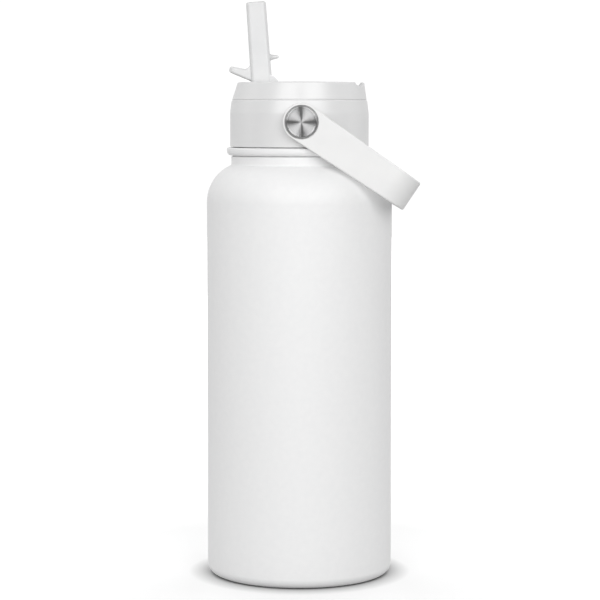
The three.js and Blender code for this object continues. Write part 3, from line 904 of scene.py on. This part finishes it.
def flat_strip():
    """The strip before it is bent, with its long edges rounded over."""
    edge = strip_edge()
    count = len(edge)
    inward = []
    for i in range(count):
        tangent = (edge[(i + 1) % count] - edge[i - 1]).normalized()
        inward.append(Vector((-tangent.y, tangent.x)))
    steps = 5
    levels = []
    for k in range(steps, -1, -1):
        angle = math.radians(90 * k / steps)
        height = -HANDLE_THICKNESS / 2 + HANDLE_EDGE * (1 - math.sin(angle))
        levels.append((height, HANDLE_EDGE * (1 - math.cos(angle))))
    levels += [(-height, inset) for height, inset in reversed(levels)]
    rings = []
    for height, inset in levels:
        lift = Vector((0, 0, height))
        rings.append([(edge[i] + inward[i] * inset).to_3d() + lift for i in range(count)])
    return lofted("handle_strap", rings)


def bent(point):
    """Where a point of the flat strip goes: x is along it, y across and z out of its face."""
    side = -1 if point.x < HALF_STRIP else 1
    along = point.x if side < 0 else 2 * HALF_STRIP - point.x
    middle = HANDLE_INSIDE + HANDLE_THICKNESS / 2
    if along < ARM:
        return Vector((along, side * (middle + point.z), point.y))
    if along < ARM + CORNER_LENGTH:
        angle = (along - ARM) / BEND
        radius = BEND + point.z
        out = CORNER_Y + radius * math.cos(angle)
        return Vector((ARM + radius * math.sin(angle), side * out, point.y))
    across = HALF_STRIP - along
    return Vector((HANDLE_REACH - HANDLE_THICKNESS / 2 + point.z, side * across, point.y))


def bend_strip(strip):
    """Cuts the strip across where it will curve, then bends it into its U."""
    bm = bmesh.new()
    bm.from_mesh(strip.data)
    bmesh.ops.transform(bm, matrix=Matrix.Scale(1 / MM, 4), verts=bm.verts)
    steps = 26
    cuts = [ARM + CORNER_LENGTH * k / steps for k in range(steps + 1)]
    for along in cuts + [2 * HALF_STRIP - c for c in cuts]:
        everything = list(bm.verts) + list(bm.edges) + list(bm.faces)
        bmesh.ops.bisect_plane(bm, geom=everything, plane_co=(along, 0, 0), plane_no=(1, 0, 0))
    for vertex in bm.verts:
        vertex.co = bent(vertex.co)
    strip.data = mesh_of(bm, "handle_strap")


def handle():
    """The U-shaped strap, with its eyes and their recesses, set at its droop."""
    strip = flat_strip()
    bend_strip(strip)
    past_eyes = 60
    cutters = [cross_rod("eye_hole", EYE_HOLE, past_eyes, 0, 0)]
    seat = HEAD_IN - 0.3  # just under the bolt's head
    recess = ellipse(EYE_RECESS, EYE_RECESS, 96)
    for side in (-1, 1):
        place = Matrix.Rotation(math.radians(-90 * side), 4, "X")
        cutters.append(extruded("recess", recess, seat, HEAD_IN + 9, place))
    combined(strip, cutters, "DIFFERENCE")
    droop = Matrix.Rotation(math.radians(HANDLE_DROOP), 4, "Y")
    strip.data.transform(Matrix.Translation(HANDLE_PIVOT * MM) @ droop)
    return placed(shaded(strip), "handle", "handle_plastic", HANDLE_PLASTIC, "handle")


# ---------- pivots ----------


def pivot_disc(side, name):
    """The bolt: a brushed face inside a raised ring with a rolled edge."""
    ring, slope, face = 0.75, 1.15, 1.3  # how far in from the head's rim each begins
    outline = rounded([
        (0, SHAFT_IN, 0),
        (SHAFT_RADIUS, SHAFT_IN, 0.3),
        (SHAFT_RADIUS, HEAD_IN, 0),
        (HEAD_RADIUS, HEAD_IN, 0.2),
        (HEAD_RADIUS, HEAD_OUT - ring, 0.35),
        (HEAD_RADIUS - ring, HEAD_OUT, 0.25),
        (HEAD_RADIUS - slope, HEAD_OUT, 0.1),
        (HEAD_RADIUS - face, HEAD_OUT - FACE_SINK, 0.1),
        (0, HEAD_OUT - FACE_SINK, 0),
    ])
    piece = turned(name, outline, 96, facing(side))
    bolt = "pivot_bolt_back" if side > 0 else "pivot_bolt_front"
    return placed(shaded(piece, 30), "lid", "brushed_disc", DISC_STEEL, bolt)


def tube_like(node, wall, edge, name, body, slot, material):
    """A smooth tube or rod in place of a faceted one, upright or along Y as its box says."""
    low, high = span(node)
    size = high - low
    middle = (high + low) / 2
    upright = abs(size.x - size.y) < 0.5  # round as seen from above
    length = size.z if upright else size.y
    outer = size.x / 2
    inner = 0 if wall is None else outer - wall
    round_inner = 0 if wall is None else edge
    outline = rounded([
        (outer, -length / 2, edge),
        (outer, length / 2, edge),
        (inner, length / 2, round_inner),
        (inner, -length / 2, round_inner),
    ])
    turn = Matrix.Identity(4) if upright else Matrix.Rotation(math.radians(90), 4, "X")
    piece = turned(name, outline, SMALL_FACETS, Matrix.Translation(middle) @ turn)
    return placed(shaded(piece), body, slot, material, node)


def small_parts():
    """Straw, seals, washers, inserts and bushes, each a plain turned part."""
    tube_like("straw", 0.8, 0.2, "straw_tube", "lid", "straw_plastic", STRAW_PLASTIC)
    tube_like("lid_gasket", 3.3, 0.4, "gasket_ring", "seal_ring", "silicone", SILICONE)
    tube_like("vent_grommet", 1.3, 0.3, "vent_ring", "lid", "silicone", SILICONE)
    tube_like("getter_pellet", None, 0.3, "getter", "bottle", "bare_steel", DRAWN_STEEL)
    soft = ("soft_plastic", SPOUT_PLASTIC)
    for side in ("front", "back"):
        tube_like("pivot_washer_" + side, 3.3, 0.2, "washer_" + side, "lid", *soft)
        tube_like("pivot_insert_" + side, 1.0, 0.15, "insert_" + side, "lid", "brass", BRASS)
        tube_like("pivot_bush_" + side, 1.1, 0.2, "bush_" + side, "handle", *soft)


def carried_over():
    """CAD nodes inside the lid and base that keep their shape and take a better material."""
    finishes = {
        "vacuum_seal": GLASS_SOLDER,
        "lid_inner_cap": LID_PLASTIC,
        "lid_insulation": FOAM,
        "spout_seal": SILICONE,
        "straw_socket": SILICONE,
        "vent_valve": SILICONE,
    }
    for node, material in finishes.items():
        mesh = frame["nodes"][node].data
        mesh.materials.clear()
        mesh.materials.append(material)


# ---------- stage ----------


def glow(name, strength):
    """An even white light for a surface of the studio."""
    material = bpy.data.materials.new(name)
    material.use_nodes = True
    nodes = material.node_tree.nodes
    nodes.clear()
    emission = nodes.new("ShaderNodeEmission")
    emission.inputs["Strength"].default_value = strength
    output = nodes.new("ShaderNodeOutputMaterial")
    material.node_tree.links.new(emission.outputs[0], output.inputs["Surface"])
    material.cycles.emission_sampling = "NONE"
    return material


def dome(name, radius, strength, keep=None):
    """A glowing sphere round the scene, or the faces of it that keep chooses by direction."""
    bm = bmesh.new()
    bmesh.ops.create_icosphere(bm, subdivisions=5, radius=radius)
    if keep is not None:
        unwanted = [face for face in bm.faces if not keep(face.calc_center_median().normalized())]
        bmesh.ops.delete(bm, geom=unwanted, context="FACES")
    mesh = bpy.data.meshes.new(name)
    bm.to_mesh(mesh)
    bm.free()
    piece = added(name, mesh)
    piece.data.materials.append(glow(name, strength))
    piece.visible_transmission = False
    return piece


def disc_on_floor(name, level, material):
    """A large round sheet, its level in millimetres, that shows in no reflection."""
    radius = 2.9
    bm = bmesh.new()
    bmesh.ops.create_circle(bm, cap_ends=True, segments=96, radius=radius)
    mesh = bpy.data.meshes.new(name)
    bm.to_mesh(mesh)
    bm.free()
    piece = added(name, mesh)
    piece.location.z = level * MM
    piece.data.materials.append(material)
    piece.visible_glossy = False
    piece.visible_transmission = False
    return piece


def paper(name, shade, near, far):
    """Matt paper with faint fibres, glowing by near at the bottle and by far away from it.

    Its colour and glow carry a painted contact shadow: painted shade in the crevice under the
    base's corner and a painted shadow in a narrow halo round the base.
    """
    finish = Finish(name, Roughness=0.9, Specular_IOR_Level=0.0, Emission_Color=(1, 1, 1, 1))
    fibres = finish.noise(1.5, 4)
    finish.colour(fibres, (shade - 0.01,) * 3, (shade,) * 3)
    away = finish.distance_from_axis("Z")
    # painted contact shadow: painted shade in the crevice under the base and a painted shadow halo
    # round it
    painted_crevice_shade = finish.between(away, low=0.15, high=1, start=0.041, end=0.0445)
    painted_shadow_halo = finish.between(away, low=0.6, high=1, start=0.0435, end=0.055)
    colour = finish.shader.inputs["Base Color"].links[0].from_socket
    glowing = finish.between(away, near, far, start=0.12, end=0.6)
    # the painted shade darkens both the paper's colour and its glow near the base
    for dark in (painted_crevice_shade, painted_shadow_halo):
        inputs = {0: colour, 1: dark}
        colour = finish.node("ShaderNodeVectorMath", inputs, operation="MULTIPLY").outputs[0]
        inputs = {0: glowing, 1: dark}
        glowing = finish.node("ShaderNodeMath", inputs, operation="MULTIPLY").outputs[0]
    finish.links.new(colour, finish.shader.inputs["Base Color"])
    finish.links.new(glowing, finish.shader.inputs["Emission Strength"])
    finish.material.cycles.emission_sampling = "NONE"
    return finish.material


def soft_box(name, size, radiance, place, target):
    """A square soft box of the given side, in metres, that the camera doesn't see."""
    light = bpy.data.lights.new(name, "AREA")
    light.shape = "SQUARE"
    light.size = size
    light.energy = radiance * math.pi * size * size
    box = bpy.data.objects.new(name, light)
    bpy.context.scene.collection.objects.link(box)
    box.location = place
    box.rotation_euler = (Vector(target) - Vector(place)).to_track_quat("-Z", "Y").to_euler()
    box.visible_camera = False
    return box


def linked(light, pieces, state):
    """Lights only these pieces (INCLUDE), or everything but them (EXCLUDE)."""
    group = bpy.data.collections.new(light.name + "_pieces")
    light.light_linking.receiver_collection = group
    for piece in pieces:
        group.objects.link(piece)
    for member in group.collection_objects:
        member.light_linking.link_state = state


def behind(way):
    """Whether a direction is on the back half, but not in an upright strip at its middle."""
    return way.y > -0.1 and abs(way.x) > 0.12


def studio(discs):
    """A pale floor in a soft tent with a white wall behind, and soft boxes front and back."""
    tent = dome("light_tent", radius=3.0, strength=0.42)
    tent.visible_camera = False
    tent.visible_glossy = False
    wall = dome("white_wall", radius=2.9, strength=0.9, keep=behind)
    wall.visible_camera = False
    backdrop = dome("backdrop", radius=3.4, strength=1.05)
    backdrop.visible_diffuse = False
    backdrop.visible_glossy = False
    backdrop.visible_shadow = False
    paper_seen = paper("floor_paper", shade=0.95, near=0.0, far=1.0)
    floor = disc_on_floor("floor", level=-0.1, material=paper_seen)
    floor.visible_diffuse = False
    floor.visible_shadow = False
    paper_lighting = paper("bounce_paper", shade=0.35, near=0.22, far=0.0)
    bounce = disc_on_floor("bounce_floor", level=-0.3, material=paper_lighting)
    bounce.visible_camera = False
    lid_z = HANDLE_PIVOT.z * MM
    box_size, box_side, box_away, box_above = 0.98, 0.6, 1.2, 0.6
    fill_size, fill_away, fill_height, fill_share = 0.9, 1.6, 0.12, 0.72
    for front, radiance in ((-1, 2.8), (1, 1.4)):
        for side in (-1, 1):
            place = Vector((box_side * side, box_away * front, lid_z + box_above))
            ahead = place - Vector((0, front, 0))
            box = soft_box("soft_box", box_size, radiance, place, ahead)
            box.visible_glossy = front < 0
        place = (0, fill_away * front, fill_height)
        fill = soft_box("fill", fill_size, fill_share * radiance, place, (0, 0, 0.1))
        fill.visible_glossy = front < 0
        linked(fill, discs, "EXCLUDE")
    above = (0, 0, 2.0)
    overhead = soft_box("floor_light", size=3.5, radiance=0.15, place=above, target=(0, 0, 0))
    linked(overhead, [floor], "INCLUDE")
    world = bpy.data.worlds.new("studio")
    world.use_nodes = True
    background = world.node_tree.nodes["Background"]
    background.inputs["Color"].default_value = (1, 1, 1, 1)
    background.inputs["Strength"].default_value = 0.03
    bpy.context.scene.world = world
    bpy.context.scene.view_settings.view_transform = "Standard"


def camera():
    """Level with the lid and a little to the left, tipped down to take in the base."""
    turn = math.radians(1.5)
    tilt = 4.362
    distance = 1.024
    height = 0.225
    data = bpy.data.cameras.new("camera")
    data.lens = 124.84
    data.shift_x = 0.001
    data.shift_y = -0.04
    eye = bpy.data.objects.new("camera", data)
    bpy.context.scene.collection.objects.link(eye)
    eye.location = (-distance * math.sin(turn), -distance * math.cos(turn), height)
    eye.rotation_euler = (math.radians(90 - tilt), 0, -turn)
    bpy.context.scene.camera = eye


# ---------- assembly ----------

coated_shell()
steel_neck()
liner()
base()
housing()
top_cover()
spout()
handle()
discs = [pivot_disc(-1, "pivot_disc_front"), pivot_disc(1, "pivot_disc_back")]
small_parts()
carried_over()
studio(discs)
camera()
